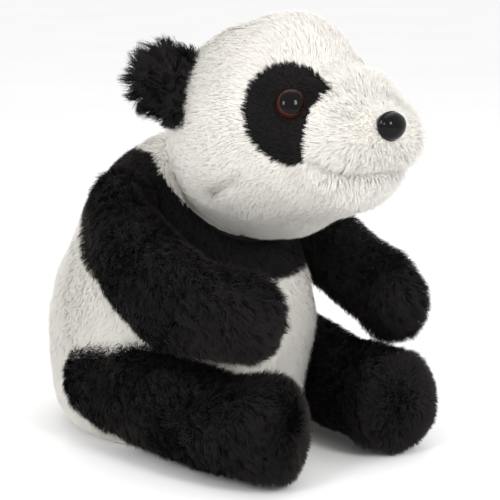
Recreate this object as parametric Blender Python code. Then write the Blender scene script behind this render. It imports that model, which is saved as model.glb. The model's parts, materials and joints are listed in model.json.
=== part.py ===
"""A seated plush panda: sewn fur panels over stuffing, with plastic eyes and nose.

Metres, +Z up.  The panda faces -Y and its right side is -X.  The origin lies on the flat seat,
under the middle of the belly.  The fur fabric is modelled with its pile, PLUSH thick.
"""
import math

import bmesh
import bpy
from mathutils import Matrix, Vector

# --- driving dimensions -------------------------------------------------------------------------
PLUSH = 0.0050          # backing and pile of the fur fabric
SEAM = 0.0004           # gap between neighbouring panels
FILL_GAP = 0.0008       # gap between fabric and stuffing
LOOSE_GAP = 0.0018      # the same inside the limbs and the head
JOINT_GAP = 0.0006      # gap around parts that move
FAR = 0.12              # past the object on every side, for cutters

HEAD_CENTRE = Vector((0.0, -0.073, 0.178))
HEAD_RADIUS = 0.060
HEAD_TURN = math.radians(4)     # the head looks a little to its left
# Lobes that swell the round skull: centre from HEAD_CENTRE, then half sizes along X, Y and Z.
MUZZLE_LOBE = (Vector((0.0, -0.048, 0.001)), Vector((0.045, 0.042, 0.039)))
JAW_LOBE = (Vector((0.0, -0.036, -0.021)), Vector((0.044, 0.034, 0.027)))
BROW_LOBE = (Vector((0.0, -0.012, 0.0225)), Vector((0.038, 0.040, 0.046)))
LOBE_BLEND = 0.006
GUSSET_HALF = 0.019     # half width of the strip over the top of the head
MUZZLE_START = -0.053   # where the muzzle panel begins, along Y from HEAD_CENTRE
NECK_SPREAD = math.radians(15)
NECK_TILT = Vector((0.0, 0.64, -0.77))
NECK_LENS = (0.0604, 0.0644)    # inner and outer radius of the neck stuffing

EYE_AIM = Vector((0.640, -0.718, 0.345)).normalized()
EYE_RADIUS = 0.00825
EYE_HEIGHT = 0.0062
PATCH_AIM = Vector((0.668, -0.714, 0.265)).normalized()
PATCH_HALF = (0.023, 0.028)
PATCH_LEAN = math.radians(10)
SHANK_RADIUS = 0.0022
SHANK_LENGTH = 0.0110
WASHER_RADIUS = 0.0075
WASHER_THICK = 0.0014
WASHER_DROP = 0.0013    # from the fabric's curved back to the middle of an eye's flat washer
NOSE_WASHER_DROP = 0.0042
BACKING = 0.0012        # fabric left under an eye or the nose
NOSE_HALF = (0.0115, 0.0088)
NOSE_HEIGHT = 0.0085
NOSE_AIM = Vector((-0.085, -0.990, 0.110)).normalized()

EAR_AIM = Vector((0.80, 0.46, 0.39)).normalized()
EAR_EDGE = Vector((-0.53, 0.19, 0.83)).normalized()
EAR_AXIS_RADIUS = 0.0622
EAR_HALF_LENGTH = 0.024
EAR_REACH = 0.028
EAR_HALF_THICK = 0.0062

# Torso: height, fore-aft centre, half width and half depth.
TORSO_PROFILE = (
    (0.000, 0.000, 0.0620, 0.0700),
    (0.005, 0.000, 0.0675, 0.0750),
    (0.020, 0.000, 0.0725, 0.0805),
    (0.045, 0.000, 0.0745, 0.0830),
    (0.077, 0.000, 0.0720, 0.0800),
    (0.095, 0.000, 0.0670, 0.0755),
    (0.115, -0.002, 0.0600, 0.0660),
    (0.135, -0.001, 0.0500, 0.0570),
    (0.150, 0.000, 0.0390, 0.0430),
    (0.160, 0.000, 0.0280, 0.0300),
    (0.168, 0.000, 0.0140, 0.0150),
)
TORSO_TOP = 0.171
YOKE_FRONT = 0.090      # lower edge of the black yoke at the chest and the sides
YOKE_BACK = 0.124       # and across the back
YOKE_TURN = (math.radians(90), math.radians(138))
CHEST_HALF = 0.0520     # half width of the yoke's chest panel, between the arms
CHEST_BACK = -0.020     # how far back the chest panel may reach
NECK_PANEL_CENTRE = Vector((0.0, -0.032, 0.183))
NECK_PANEL_RADIUS = 0.065

# Limbs: points along the middle with half width and half height, from joint to tip.
ARM_RIGHT = (
    ((-0.060, -0.012, 0.136), 0.0220, 0.0220),
    ((-0.068, -0.031, 0.1145), 0.0200, 0.0275),
    ((-0.074, -0.060, 0.101), 0.0205, 0.0290),
    ((-0.073, -0.086, 0.092), 0.0210, 0.0280),
    ((-0.064, -0.110, 0.090), 0.0195, 0.0245),
)
ARM_LEFT = (
    ((0.060, -0.012, 0.135), 0.0220, 0.0220),
    ((0.066, -0.037, 0.111), 0.0195, 0.0225),
    ((0.071, -0.062, 0.093), 0.0195, 0.0230),
    ((0.071, -0.087, 0.083), 0.0195, 0.0230),
    ((0.066, -0.104, 0.080), 0.0190, 0.0215),
)
LEG_RIGHT = (
    ((-0.054, 0.003, 0.036), 0.0260, 0.0295),
    ((-0.058, -0.038, 0.034), 0.0250, 0.0310),
    ((-0.060, -0.076, 0.030), 0.0230, 0.0270),
    ((-0.058, -0.106, 0.030), 0.0240, 0.0280),
    ((-0.050, -0.125, 0.031), 0.0250, 0.0290),
)
LEG_LEFT = (
    ((0.054, 0.003, 0.036), 0.0260, 0.0295),
    ((0.052, -0.040, 0.034), 0.0250, 0.0310),
    ((0.044, -0.080, 0.030), 0.0240, 0.0275),
    ((0.038, -0.109, 0.0295), 0.0270, 0.0280),
    ((0.036, -0.132, 0.0295), 0.0285, 0.0285),
)
SOLE_BEHIND_TIP = 0.001     # the sole seam, behind the last point of a leg
FOOT_BULGE = 0.012
PAW_BULGE = 0.022
LEG_SPLAY = (0, 10, 20)     # degrees outwards at which the torso makes room for a leg
SPLAY_GROWTH = 1.5e-5       # added to the room per degree, so that no two of its faces coincide
POUCH_HALF = Vector((0.030, 0.040, 0.014))

# --- colours --------------------------------------------------------------------------------------
WHITE_FUR = (0.76, 0.73, 0.67)
BLACK_FUR = (0.012, 0.010, 0.010)
STUFFING = (0.90, 0.90, 0.88)
POUCH_CLOTH = (0.80, 0.78, 0.72)
BLACK_PLASTIC = (0.010, 0.009, 0.009)
BROWN_PLASTIC = (0.080, 0.022, 0.012)
CLEAR_WASHER = (0.85, 0.85, 0.82)


def material(name, colour, roughness):
    """A Principled material, made once for each name."""
    found = bpy.data.materials.get(name)
    if found:
        return found
    made = bpy.data.materials.new(name)
    made.use_nodes = True
    shader = made.node_tree.nodes["Principled BSDF"]
    shader.inputs["Base Color"].default_value = (*colour, 1.0)
    shader.inputs["Roughness"].default_value = roughness
    shader.inputs["Metallic"].default_value = 0.0
    made.diffuse_color = (*colour, 1.0)
    return made


def smoothstep(low, high, value):
    """0 below low, 1 above high, and a smooth rise between."""
    t = min(max((value - low) / (high - low), 0.0), 1.0)
    return t * t * (3 - 2 * t)


def mirrored(vector, side):
    """The left-hand vector for side +1, and its mirror image in X for side -1."""
    return Vector((side * vector.x, vector.y, vector.z))


def finish(bm, name, pivot=Vector((0, 0, 0))):
    """Turn a bmesh in world places into an object whose origin is at pivot."""
    bmesh.ops.recalc_face_normals(bm, faces=bm.faces)
    bmesh.ops.translate(bm, verts=bm.verts, vec=-pivot)
    mesh = bpy.data.meshes.new(name)
    bm.to_mesh(mesh)
    bm.free()
    mesh.shade_smooth()
    mesh.set_sharp_from_angle(angle=math.radians(40))
    made = bpy.data.objects.new(name, mesh)
    made.location = pivot
    bpy.context.scene.collection.objects.link(made)
    return made


def skinned(rings, first_pole=None, last_pole=None):
    """A closed bmesh over rings of points, closed at each end by a pole or a flat face."""
    bm = bmesh.new()
    loops = [[bm.verts.new(p) for p in ring] for ring in rings]
    count = len(loops[0])
    for lower, upper in zip(loops, loops[1:]):
        for i in range(count):
            j = (i + 1) % count
            bm.faces.new((lower[i], lower[j], upper[j], upper[i]))
    for loop, pole in ((loops[0], first_pole), (loops[-1], last_pole)):
        if pole is None:
            bm.faces.new(loop)
            continue
        tip = bm.verts.new(pole)
        for i in range(count):
            bm.faces.new((loop[i], loop[(i + 1) % count], tip))
    return bm


def halve(bm, centre, facing, lift):
    """Leave the half of a ball that facing points to, closed by one flat face that lies lift ahead."""
    behind = [vert for vert in bm.verts if (vert.co - centre).dot(facing) < -1e-6]
    bmesh.ops.delete(bm, geom=behind, context="VERTS")
    rim = [vert for vert in bm.verts if vert.is_boundary]
    for vert in rim:
        vert.co += facing * lift
    side = facing.orthogonal()
    other = facing.cross(side)

    def turn(vert):
        away = vert.co - centre
        return math.atan2(away.dot(other), away.dot(side))

    bm.faces.new(sorted(rim, key=turn))


# --- cutting --------------------------------------------------------------------------------------
# Thin shells with many cuts, where the exact solver leaves parts out.
THIN_CUT = (
    "body_panel", "torso_stuffing", "yoke_chest_panel", "yoke_back_panel", "head_gusset",
    "head_side_right", "head_side_left", "eye_patch_right", "eye_patch_left",
)


def cutter(bm, name):
    """A guide solid that only cuts others."""
    made = finish(bm, name)
    made.hide_render = True
    made.display_type = "WIRE"
    return made


def cut(target, operation, tool):
    """Add a Boolean of tool to target."""
    step = target.modifiers.new(tool.name, "BOOLEAN")
    step.operation = operation
    step.solver = "MANIFOLD" if target.name in THIN_CUT else "EXACT"
    step.object = tool


def remove(target, *tools):
    """Cut each tool's shape away from target."""
    for tool in tools:
        cut(target, "DIFFERENCE", tool)


def keep(target, *tools):
    """Leave only what of target lies inside each tool's shape."""
    for tool in tools:
        cut(target, "INTERSECT", tool)


def ball_bmesh(centre, radius, columns=28, rows=14):
    """A closed ball."""
    bm = bmesh.new()
    bmesh.ops.create_uvsphere(bm, u_segments=columns, v_segments=rows, radius=radius)
    bmesh.ops.translate(bm, verts=bm.verts, vec=centre)
    return bm


def block_bmesh(low, high):
    """A closed block between two corners."""
    bm = bmesh.new()
    bmesh.ops.create_cube(bm, size=1.0)
    size = Vector(high) - Vector(low)
    bmesh.ops.scale(bm, verts=bm.verts, vec=size)
    bmesh.ops.translate(bm, verts=bm.verts, vec=(Vector(low) + Vector(high)) / 2)
    return bm


def frame_towards(aim, up=Vector((0, 0, 1))):
    """A rotation whose Z column is aim and whose Y column leans towards up."""
    z = aim.normalized()
    x = up.cross(z).normalized()
    y = z.cross(x)
    return Matrix((x, y, z)).transposed().to_4x4()


def column_bmesh(centre, aim, outline, start, stop, segments=20):
    """A straight column along aim: outline(angle) gives its (x, y) in the frame across aim."""
    turn = frame_towards(aim)
    rings = []
    for distance in (start, stop):
        ring = []
        for i in range(segments):
            x, y = outline(2 * math.pi * i / segments)
            ring.append(Vector(centre) + turn @ Vector((x, y, distance)))
        rings.append(ring)
    return skinned(rings)


def oval(half_x, half_y, lean=0.0):
    """An oval outline, leaning by an angle."""
    def point(angle):
        x = half_x * math.cos(angle)
        y = half_y * math.sin(angle)
        return (x * math.cos(lean) - y * math.sin(lean), x * math.sin(lean) + y * math.cos(lean))
    return point


# --- head surface -----------------------------------------------------------------------------------
def lobe_reach(direction, lobe):
    """How far a ray from the head centre goes before it leaves a lobe, or 0 where it misses."""
    centre, half = lobe
    d = Vector((direction.x / half.x, direction.y / half.y, direction.z / half.z))
    c = Vector((centre.x / half.x, centre.y / half.y, centre.z / half.z))
    along = d.dot(c)
    room = along * along - d.dot(d) * (c.dot(c) - 1.0)
    if room <= 0.0:
        return 0.0
    return (along + math.sqrt(room)) / d.dot(d)


def head_reach(direction):
    """Radius of the head in a direction: a ball and three lobes, blended."""
    reaches = [HEAD_RADIUS]
    for lobe in (MUZZLE_LOBE, JAW_LOBE, BROW_LOBE):
        reaches.append(lobe_reach(direction, lobe))
    total = 0.0
    for reach in reaches:
        swell = max(reach - HEAD_RADIUS, 0.0)
        total += swell ** 2
    swell = math.sqrt(total)
    soft = swell * swell / (swell + LOBE_BLEND) if swell else 0.0
    return HEAD_RADIUS + soft


def head_bmesh(inset, columns, rows):
    """The closed head, inset below its fur tips, with poles at the nose and the nape."""
    rings = []
    for row in range(1, rows):
        polar = math.pi * row / rows
        ring = []
        for column in range(columns):
            turn = 2 * math.pi * (column + 0.5) / columns
            across = math.sin(polar)
            direction = Vector((across * math.cos(turn), -math.cos(polar), across * math.sin(turn)))
            ring.append(HEAD_CENTRE + direction * (head_reach(direction) - inset))
        rings.append(ring)
    front = Vector((0, -1, 0))
    back = Vector((0, 1, 0))
    return skinned(
        rings,
        HEAD_CENTRE + front * (head_reach(front) - inset),
        HEAD_CENTRE + back * (head_reach(back) - inset),
    )


def head_point(aim, inset=0.0):
    """A point on the head in the direction aim, inset below the fur tips."""
    return HEAD_CENTRE + aim * (head_reach(aim) - inset)


# --- torso surface ----------------------------------------------------------------------------------
def torso_bmesh(inset, columns):
    """The closed torso, inset below its fur tips; its seat is flat."""
    rows = []
    for i, (height, centre, half_x, half_y) in enumerate(TORSO_PROFILE):
        if i == 0:
            if not inset:
                rows.append((height, centre, half_x, half_y))
            continue
        below = TORSO_PROFILE[i - 1]
        above = TORSO_PROFILE[min(i + 1, len(TORSO_PROFILE) - 1)]
        slope = (above[2] - below[2]) / (above[0] - below[0])
        if i == 1:
            slope = 0.0
        length = math.hypot(1.0, slope)
        lower = inset * (-slope / length)
        shrink = inset / length
        rows.append((height - lower, centre, half_x - shrink, half_y - shrink))
    rings = []
    for height, centre, half_x, half_y in rows:
        ring = []
        for i in range(columns):
            angle = 2 * math.pi * i / columns
            ring.append(Vector((half_x * math.sin(angle), centre - half_y * math.cos(angle), height)))
        rings.append(ring)
    return skinned(rings, None, Vector((0, 0, TORSO_TOP - inset)))


def yoke_edge(angle):
    """Height of the black yoke's lower edge, at an angle round from the chest."""
    away = abs((angle + math.pi) % (2 * math.pi) - math.pi)
    return YOKE_FRONT + (YOKE_BACK - YOKE_FRONT) * smoothstep(*YOKE_TURN, away)


def below_yoke_bmesh(shift, columns=48):
    """Everything under the yoke's lower edge, shifted up or down."""
    rings = []
    for level in (-0.02, None):
        ring = []
        for i in range(columns):
            angle = 2 * math.pi * i / columns
            height = yoke_edge(angle) + shift if level is None else level
            ring.append(Vector((FAR * math.sin(angle), -FAR * math.cos(angle), height)))
        rings.append(ring)
    middle = Vector((0, 0, (YOKE_FRONT + YOKE_BACK) / 2))
    return skinned(rings, None, middle)


# --- limbs ------------------------------------------------------------------------------------------
def spline(stations, t):
    """Catmull-Rom reading of a limb's stations: middle point, half width and half height."""
    last = len(stations) - 1
    i = min(int(t), last - 1)
    f = t - i
    values = []
    for k in range(i - 1, i + 3):
        place, wide, high = stations[min(max(k, 0), last)]
        values.append(Vector((*place, wide, high)))
    p0, p1, p2, p3 = values
    if i == 0:
        p0 = p1 * 2 - p2
    if i == last - 1:
        p3 = p2 * 2 - p1
    mixed = (p1 * 2 + (p2 - p0) * f + (p0 * 2 - p1 * 5 + p2 * 4 - p3) * f * f
             + (p1 * 3 - p0 - p2 * 3 + p3) * f ** 3) * 0.5
    return Vector(mixed[:3]), mixed[3], mixed[4]


def limb_bmesh(stations, bulge, inset=0.0, columns=14, rows=7):
    """A closed limb: an upright round end at the joint, and a rounded tip that bulges forward."""
    last = len(stations) - 1
    rings = []

    def add_ring(middle, across, upward, wide, high):
        ring = []
        for i in range(columns):
            angle = 2 * math.pi * i / columns
            ring.append(middle + across * wide * math.cos(angle) + upward * high * math.sin(angle))
        rings.append(ring)

    def frame_at(t):
        ahead = spline(stations, min(t + 0.02, last))[0]
        behind = spline(stations, max(t - 0.02, 0.0))[0]
        along = (ahead - behind).normalized()
        across = along.cross(Vector((0, 0, 1))).normalized()
        return along, across, across.cross(along)

    middle, wide, high = spline(stations, 0.0)
    level = Vector((0, 0, 1))
    along, across, _ = frame_at(0.0)
    flat_along = level.cross(across)
    wide -= inset
    high -= inset
    back_pole = middle - flat_along * wide
    for turn in (70, 45, 20):
        angle = math.radians(turn)
        place = middle - flat_along * wide * math.sin(angle)
        add_ring(place, across, level, wide * math.cos(angle), high * math.cos(angle))
    for row in range(rows + 1):
        t = last * row / rows
        middle, wide, high = spline(stations, t)
        along, across, upward = frame_at(t)
        lean = smoothstep(0.0, 2.4, t)
        upward = (level * (1 - lean) + upward * lean).normalized()
        add_ring(middle, across, upward, wide - inset, high - inset)
    reach = bulge - inset
    for turn in (25, 48, 70):
        angle = math.radians(turn)
        place = middle + along * reach * math.sin(angle)
        shrink = math.cos(angle) ** 0.8
        add_ring(place, across, upward, (wide - inset) * shrink, (high - inset) * shrink)
    return skinned(rings, back_pole, middle + along * reach)


def limb_tip(stations):
    """The last point of a limb and the way it points."""
    last = len(stations) - 1
    tip = spline(stations, last)[0]
    behind = spline(stations, last - 0.05)[0]
    return tip, (tip - behind).normalized()


# --- pieces -----------------------------------------------------------------------------------------
def give(target, name, colour, roughness):
    target.data.materials.append(material(name, colour, roughness))


def white_fur(target):
    give(target, "white_fur", WHITE_FUR, 0.9)


def black_fur(target):
    give(target, "black_fur", BLACK_FUR, 0.85)


def stuffing(target):
    give(target, "stuffing", STUFFING, 1.0)


def build_torso(limb_room, neck_room):
    """Belly and back panel, seat panel, black yoke, nape panel, stuffing and pellet pouch."""
    inner = cutter(torso_bmesh(PLUSH, 24), "cut_torso_inside")
    low_part = cutter(below_yoke_bmesh(-SEAM / 2), "cut_below_yoke")
    low_part_wide = cutter(below_yoke_bmesh(SEAM / 2), "cut_below_yoke_wide")
    seat = PLUSH - SEAM / 2
    seat_part = cutter(block_bmesh((-0.1, -0.1, -0.01), (0.1, 0.1, seat)), "cut_seat")
    seat_part_wide = cutter(block_bmesh((-0.1, -0.1, -0.01), (0.1, 0.1, seat + SEAM)), "cut_seat_wide")
    nape = cutter(ball_bmesh(NECK_PANEL_CENTRE, NECK_PANEL_RADIUS), "cut_nape")
    nape_wide = cutter(ball_bmesh(NECK_PANEL_CENTRE, NECK_PANEL_RADIUS + SEAM), "cut_nape_wide")

    body = finish(torso_bmesh(0.0, 32), "body_panel")
    remove(body, *limb_room)
    keep(body, low_part)
    remove(body, inner, seat_part_wide)
    white_fur(body)

    base = finish(torso_bmesh(0.0, 32), "seat_panel")
    remove(base, *limb_room)
    keep(base, seat_part)
    white_fur(base)

    low, high = 0.02, 0.20
    wide = CHEST_HALF + SEAM
    chest = cutter(block_bmesh(
        (-CHEST_HALF, -FAR, low), (CHEST_HALF, CHEST_BACK, high)), "cut_chest")
    chest_wide = cutter(block_bmesh(
        (-wide, -FAR, low), (wide, CHEST_BACK + SEAM, high)), "cut_chest_wide")
    for name in ("yoke_chest_panel", "yoke_back_panel"):
        yoke = finish(torso_bmesh(0.0, 32), name)
        remove(yoke, *limb_room, low_part_wide, inner, nape_wide, neck_room)
        if name == "yoke_chest_panel":
            keep(yoke, chest)
        else:
            remove(yoke, chest_wide)
        black_fur(yoke)

    collar = finish(torso_bmesh(0.0, 32), "nape_panel")
    remove(collar, *limb_room)
    keep(collar, nape)
    remove(collar, inner, neck_room)
    white_fur(collar)

    pouch_middle = Vector((0, 0.004, PLUSH + FILL_GAP + 0.0002))
    bm = ball_bmesh(Vector((0, 0, 0)), 1.0, 16, 8)
    bmesh.ops.scale(bm, verts=bm.verts, vec=POUCH_HALF)
    halve(bm, Vector((0, 0, 0)), Vector((0, 0, 1)), SEAM)
    bmesh.ops.translate(bm, verts=bm.verts, vec=pouch_middle)
    pouch = finish(bm, "pellet_pouch")
    give(pouch, "pouch_cloth", POUCH_CLOTH, 0.95)

    bm = ball_bmesh(Vector((0, 0, 0)), 1.0, 16, 8)
    room = Vector((FILL_GAP, FILL_GAP, FILL_GAP)) * 2
    bmesh.ops.scale(bm, verts=bm.verts, vec=POUCH_HALF + room)
    bmesh.ops.translate(bm, verts=bm.verts, vec=pouch_middle)
    pouch_room = cutter(bm, "cut_pouch")

    filling = finish(torso_bmesh(PLUSH + FILL_GAP, 24), "torso_stuffing")
    remove(filling, *limb_room, pouch_room, neck_room)
    stuffing(filling)


def build_neck():
    """A lens of firm stuffing between the head and the shoulders."""
    turn = frame_towards(NECK_TILT, Vector((1, 0, 0)))
    rings = []
    inner, outer = NECK_LENS
    for radius, spreads in ((outer, (0.5, 1.0)), (inner, (1.0, 0.5))):
        for part in spreads:
            spread = NECK_SPREAD * part
            ring = []
            for i in range(24):
                angle = 2 * math.pi * i / 24
                across = Vector((math.cos(angle), math.sin(angle), 0)) * math.sin(spread)
                ring.append(HEAD_CENTRE + turn @ ((across + Vector((0, 0, math.cos(spread)))) * radius))
            rings.append(ring)
    poles = [HEAD_CENTRE + NECK_TILT.normalized() * radius for radius in (outer, inner)]
    plug = finish(skinned(rings, *poles), "neck_stuffing", HEAD_CENTRE)
    stuffing(plug)


def round_column(aim, radius, start, stop, name, segments=20):
    """A cutter: a round column through the head's surface, heights from the fur tips."""
    bm = column_bmesh(head_point(aim), aim, oval(radius, radius), start, stop, segments)
    return cutter(bm, name)


def build_head():
    """Side panels, top gusset, muzzle, eye patches, eyes, nose, washers and stuffing."""
    inner = cutter(head_bmesh(PLUSH, 22, 14), "cut_head_inside")
    c = HEAD_CENTRE
    neck_hole = cutter(
        column_bmesh(c, NECK_TILT, oval(0.020, 0.020), 0.02, 0.09), "cut_neck_hole")
    gusset = cutter(block_bmesh(
        (-GUSSET_HALF, c.y - FAR, c.z), (GUSSET_HALF, c.y + FAR, c.z + FAR)), "cut_gusset")
    gusset_wide = cutter(block_bmesh(
        (-GUSSET_HALF - SEAM, c.y - FAR, c.z - SEAM),
        (GUSSET_HALF + SEAM, c.y + FAR, c.z + FAR)), "cut_gusset_wide")
    muzzle_front = cutter(block_bmesh(
        (-FAR, c.y - FAR, c.z - FAR), (FAR, c.y + MUZZLE_START, c.z + FAR)), "cut_muzzle")
    muzzle_front_wide = cutter(block_bmesh(
        (-FAR, c.y - FAR, c.z - FAR), (FAR, c.y + MUZZLE_START + SEAM, c.z + FAR)), "cut_muzzle_wide")
    side_room = {}
    for side, label in ((-1, "right"), (1, "left")):
        low_x, high_x = sorted((side * SEAM / 2, side * FAR))
        side_room[side] = cutter(block_bmesh(
            (low_x, c.y - FAR, c.z - FAR), (high_x, c.y + FAR, c.z + FAR)), "cut_side_" + label)

    grooves = {}
    patch_rooms = {}
    patch_shapes = {}
    seats = {}
    shanks = {}
    washers = {}
    for side, label in ((-1, "right"), (1, "left")):
        grooves[side] = cutter(ear_bmesh(side, JOINT_GAP), "cut_ear_" + label)
        aim = mirrored(PATCH_AIM, side)
        lean = -side * PATCH_LEAN
        shape = oval(PATCH_HALF[0], PATCH_HALF[1], lean)
        patch_shapes[side] = cutter(
            column_bmesh(head_point(aim), aim, shape, -0.030, 0.02), "cut_patch_" + label)
        shape = oval(PATCH_HALF[0] + SEAM, PATCH_HALF[1] + SEAM, lean)
        patch_rooms[side] = cutter(
            column_bmesh(head_point(aim), aim, shape, -0.030, 0.02), "cut_patch_wide_" + label)
        eye = mirrored(EYE_AIM, side)
        seats[side] = round_column(
            eye, EYE_RADIUS + SEAM, BACKING - PLUSH, 0.02, "cut_eye_seat_" + label)
        shanks[side] = round_column(
            eye, SHANK_RADIUS + FILL_GAP, -0.020, 0.01, "cut_shank_" + label, 12)
        washers[side] = round_column(
            eye, WASHER_RADIUS + FILL_GAP, -PLUSH - WASHER_DROP - WASHER_THICK - FILL_GAP, 0.0,
            "cut_washer_" + label, 20)

    nose_seat = cutter(column_bmesh(
        head_point(NOSE_AIM), NOSE_AIM, oval(NOSE_HALF[0] + SEAM, NOSE_HALF[1] + SEAM),
        BACKING - PLUSH, 0.02), "cut_nose_seat")
    nose_shank = round_column(NOSE_AIM, SHANK_RADIUS + FILL_GAP, -0.020, 0.01, "cut_nose_shank", 12)
    nose_washer = round_column(
        NOSE_AIM, WASHER_RADIUS + FILL_GAP, -PLUSH - NOSE_WASHER_DROP - WASHER_THICK - FILL_GAP, 0.0,
        "cut_nose_washer", 20)

    def panel(name):
        made = finish(head_bmesh(0.0, 32, 20), name, HEAD_CENTRE)
        remove(made, inner, neck_hole)
        return made

    muzzle = panel("muzzle_panel")
    keep(muzzle, muzzle_front)
    remove(muzzle, nose_seat, nose_shank)
    white_fur(muzzle)

    strip = panel("head_gusset")
    keep(strip, gusset)
    remove(strip, muzzle_front_wide, patch_rooms[-1], patch_rooms[1], grooves[-1], grooves[1])
    white_fur(strip)

    for side, label in ((-1, "right"), (1, "left")):
        cheek = panel("head_side_" + label)
        keep(cheek, side_room[side])
        remove(cheek, gusset_wide, muzzle_front_wide, patch_rooms[side], grooves[side])
        white_fur(cheek)
        patch = panel("eye_patch_" + label)
        keep(patch, patch_shapes[side])
        remove(patch, muzzle_front_wide, seats[side], shanks[side])
        black_fur(patch)
        build_eye(side, label)

    build_nose()
    filling = finish(head_bmesh(PLUSH + LOOSE_GAP, 22, 14), "head_stuffing", HEAD_CENTRE)
    remove(filling, *washers.values(), *shanks.values(), nose_washer, nose_shank, *grooves.values())
    stuffing(filling)


def button_bmesh(aim, half_x, half_y, height, shank, base):
    """A domed button with a shank behind it: base is the height of its back from the fur tips."""
    turn = frame_towards(aim)
    origin = head_point(aim)
    rings = []

    def ring_at(wide, deep, distance, count=16):
        ring = []
        for i in range(count):
            angle = 2 * math.pi * i / count
            point = Vector((wide * math.cos(angle), deep * math.sin(angle), distance))
            ring.append(origin + turn @ point)
        rings.append(ring)

    ring_at(SHANK_RADIUS, SHANK_RADIUS, base - shank)
    ring_at(SHANK_RADIUS, SHANK_RADIUS, base)
    ring_at(half_x * 0.93, half_y * 0.93, base)
    for turn_up in (0, 25, 50, 72):
        angle = math.radians(turn_up)
        rise = height * (0.18 + 0.82 * math.sin(angle))
        ring_at(half_x * math.cos(angle), half_y * math.cos(angle), base + rise)
    top = origin + turn @ Vector((0, 0, base + height))
    return skinned(rings, None, top)


def washer_bmesh(aim, base):
    """A flat locking washer, its top at base from the fur tips."""
    turn = frame_towards(aim)
    origin = head_point(aim)
    rings = []
    bore = SHANK_RADIUS + 0.00025
    for radius, distance in (
            (bore, base), (WASHER_RADIUS, base),
            (WASHER_RADIUS, base - WASHER_THICK), (bore, base - WASHER_THICK)):
        ring = []
        for i in range(20):
            angle = 2 * math.pi * i / 20
            ring.append(origin + turn @ Vector(
                (radius * math.cos(angle), radius * math.sin(angle), distance)))
        rings.append(ring)
    bm = bmesh.new()
    loops = [[bm.verts.new(p) for p in ring] for ring in rings]
    for k in range(4):
        this, other = loops[k], loops[(k + 1) % 4]
        for i in range(20):
            j = (i + 1) % 20
            bm.faces.new((this[i], this[j], other[j], other[i]))
    return bm


def build_eye(side, label):
    """An eye button, its shank through the patch, and the washer that locks it inside."""
    aim = mirrored(EYE_AIM, side)
    back = BACKING - PLUSH + FILL_GAP
    eye = finish(button_bmesh(aim, EYE_RADIUS, EYE_RADIUS, EYE_HEIGHT, SHANK_LENGTH, back),
                 "eye_" + label, HEAD_CENTRE)
    give(eye, "brown_plastic", BROWN_PLASTIC, 0.08)
    washer = finish(washer_bmesh(aim, -PLUSH - WASHER_DROP), "eye_washer_" + label, HEAD_CENTRE)
    give(washer, "clear_washer", CLEAR_WASHER, 0.35)


def build_nose():
    """The oval nose button, its shank and its washer."""
    back = BACKING - PLUSH + FILL_GAP
    nose = finish(button_bmesh(NOSE_AIM, *NOSE_HALF, NOSE_HEIGHT, SHANK_LENGTH, back),
                  "nose", HEAD_CENTRE)
    give(nose, "black_plastic", BLACK_PLASTIC, 0.12)
    washer = finish(washer_bmesh(NOSE_AIM, -PLUSH - NOSE_WASHER_DROP), "nose_washer", HEAD_CENTRE)
    give(washer, "clear_washer", CLEAR_WASHER, 0.35)


def ear_axis(side):
    """The middle of an ear's base, and its three directions: along the base, outward and through."""
    outward = mirrored(EAR_AIM, side)
    edge = mirrored(EAR_EDGE, side)
    edge = (edge - outward * edge.dot(outward)).normalized()
    return HEAD_CENTRE + outward * EAR_AXIS_RADIUS, edge, outward, edge.cross(outward)


def ear_bmesh(side, grow=0.0):
    """A rounded ear whose base is a spindle about the line that it flexes on."""
    middle, edge, outward, through = ear_axis(side)
    bm = ball_bmesh(Vector((0, 0, 0)), 1.0, 16, 8)
    thick = EAR_HALF_THICK + grow
    for vert in bm.verts:
        along, out, across = vert.co.z, vert.co.x, vert.co.y
        reach = (EAR_REACH + grow) if out > 0 else thick
        vert.co = (middle + edge * along * (EAR_HALF_LENGTH + grow)
                   + outward * out * reach + through * across * thick)
    return bm


def build_ears():
    """Each ear is two fur panels, a front and a back."""
    for side, label in ((-1, "right"), (1, "left")):
        middle, edge, outward, through = ear_axis(side)
        front = through if through.y < 0 else -through
        for name, facing in (("ear_front_", front), ("ear_back_", -front)):
            bm = ear_bmesh(side)
            halve(bm, middle, facing, SEAM / 2)
            half = finish(bm, name + label, middle)
            black_fur(half)


def build_arm(label, stations):
    """An arm's fur and its stuffing; the root is open towards the torso, where it is sewn on."""
    side = 1 if stations[0][0][0] > 0 else -1
    pivot = Vector(stations[0][0])
    inner = cutter(limb_bmesh(stations, PAW_BULGE, PLUSH, 10, 7), "cut_arm_inside_" + label)
    inward = Vector((-side, 0, 0))
    seam_hole = cutter(column_bmesh(pivot, inward, oval(0.010, 0.010), 0.0, 0.04), "cut_arm_hole_" + label)
    skin = finish(limb_bmesh(stations, PAW_BULGE), "arm_" + label, pivot)
    remove(skin, inner, seam_hole)
    black_fur(skin)
    filling = finish(
        limb_bmesh(stations, PAW_BULGE, PLUSH + LOOSE_GAP, 10, 7), "arm_stuffing_" + label, pivot)
    stuffing(filling)


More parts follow.
